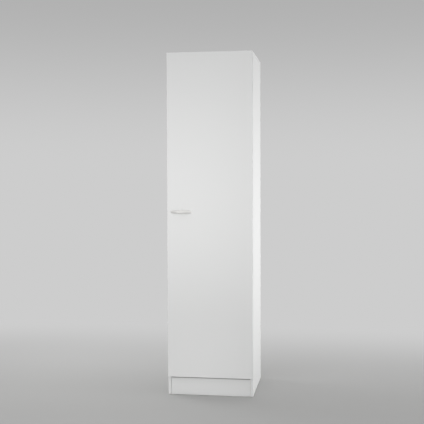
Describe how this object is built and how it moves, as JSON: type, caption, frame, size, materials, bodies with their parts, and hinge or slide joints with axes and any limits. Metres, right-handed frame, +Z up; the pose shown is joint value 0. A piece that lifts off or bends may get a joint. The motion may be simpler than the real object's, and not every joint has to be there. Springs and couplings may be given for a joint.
{
  "type": "refrigerator housing cabinet",
  "caption": "Tall white melamine housing cabinet with one full-height hinged door, metal bow handle, recessed plinth, open-backed appliance niche and a compartment above.",
  "frame": {"origin": "centre of the footprint, handle included, on the floor", "axes": "+Z up, +X to the right seen from the front, +Y to the back; the door faces -Y"},
  "size_m": [0.6, 0.628, 2.4],
  "materials": {
    "board_white": "melamine-faced chipboard, white, fine satin",
    "edging_white": "satin",
    "hardboard_white": "hardboard, white-coated on the inside",
    "handle_metal": "satin nickel",
    "hinge_nickel": "nickel plated",
    "zinc_steel": "zinc plated",
    "dowel_beech": "raw",
    "plastic_white": "moulded",
    "seal_soft": "soft",
    "bumper_soft": "translucent"
  },
  "bodies": {
    "carcass": {"adjustable_shelf": "board_white", "adjustable_shelf_edging": "edging_white", "back_panel_screws": "zinc_steel", "bottom_panel": "board_white", "bottom_panel_edging": "edging_white", "cam_bolts": "zinc_steel", "cam_caps": "plastic_white", "cam_housings": "zinc_steel", "dowels": "dowel_beech", "fixed_shelf": "board_white", "fixed_shelf_edging": "edging_white", "floor_glides": "plastic_white", "hinge_1_arm": "hinge_nickel", "hinge_1_plate": "hinge_nickel", "hinge_2_arm": "hinge_nickel", "hinge_2_plate": "hinge_nickel", "hinge_3_arm": "hinge_nickel", "hinge_3_plate": "hinge_nickel", "hinge_4_arm": "hinge_nickel", "hinge_4_plate": "hinge_nickel", "hinge_5_arm": "hinge_nickel", "hinge_5_plate": "hinge_nickel", "hinge_arm_screws": "zinc_steel", "hinge_plate_screws": "zinc_steel", "plinth_board": "board_white", "plinth_bracket_screws": "zinc_steel", "plinth_brackets": "plastic_white", "plinth_seal": "seal_soft", "rear_rail_lower": "board_white", "rear_rail_middle": "board_white", "rear_rail_upper": "board_white", "shelf_pegs": "hinge_nickel", "side_edging_left": "edging_white", "side_edging_right": "edging_white", "side_panel_left": "board_white", "side_panel_right": "board_white", "top_panel": "board_white", "top_panel_edging": "edging_white", "upper_back_panel": "hardboard_white"},
    "door": {"door_bumpers": "bumper_soft", "door_edging_bottom": "edging_white", "door_edging_left": "edging_white", "door_edging_right": "edging_white", "door_edging_top": "edging_white", "door_panel": "board_white", "handle": "handle_metal", "handle_screws": "zinc_steel", "hinge_1_cup": "hinge_nickel", "hinge_1_pin": "hinge_nickel", "hinge_2_cup": "hinge_nickel", "hinge_2_pin": "hinge_nickel", "hinge_3_cup": "hinge_nickel", "hinge_3_pin": "hinge_nickel", "hinge_4_cup": "hinge_nickel", "hinge_4_pin": "hinge_nickel", "hinge_5_cup": "hinge_nickel", "hinge_5_pin": "hinge_nickel", "hinge_cup_screws": "zinc_steel"}
  },
  "joints": [
    {"name": "door_hinge", "type": "hinge", "parent": "carcass", "child": "door", "pos_m": [0.29097, -0.2764, 1.265], "axis": [0, 0, 1], "range_deg": [0, 95]}
  ]
}
